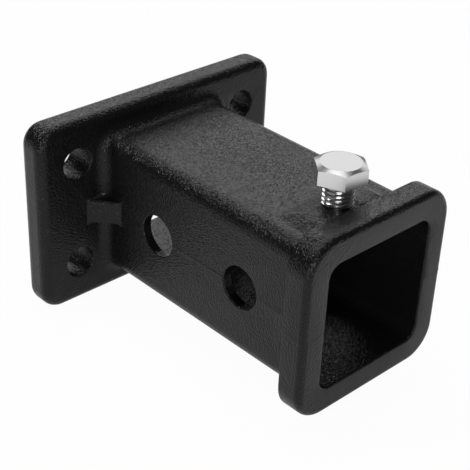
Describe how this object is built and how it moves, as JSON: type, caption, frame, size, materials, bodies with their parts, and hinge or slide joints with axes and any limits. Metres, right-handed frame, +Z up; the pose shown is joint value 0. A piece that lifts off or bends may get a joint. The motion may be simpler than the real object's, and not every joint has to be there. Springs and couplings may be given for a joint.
{
  "type": "hitch receiver adapter",
  "caption": "Cast hitch receiver adapter: square through socket with a thick collar at its mouth, flange plate with bolt holes, cross holes for a hitch pin and a hex anti-rattle bolt.",
  "frame": {"origin": "centre of the four mounting holes on the plate's rear face", "axes": "+Y out of the plate's rear face, along the socket; the socket's mouth is towards -Y; +Z up, towards the anti-rattle bolt; +X to the right seen from the mouth"},
  "size_m": [0.121, 0.1305, 0.0887],
  "materials": {
    "black_coat": "black powder coat over cast steel, satin, with a fine grain",
    "zinc_plate": "bright zinc plate, slightly brushed on the head's face"
  },
  "bodies": {
    "casting": {"receiver_casting": "black_coat"},
    "bolt": {"anti_rattle_bolt": "zinc_plate"}
  },
  "joints": [
    {"name": "bolt_travel", "type": "slide", "parent": "casting", "child": "bolt", "axis": [0, 0, 1], "range_m": [-0.00875, 0.00525]}
  ]
}
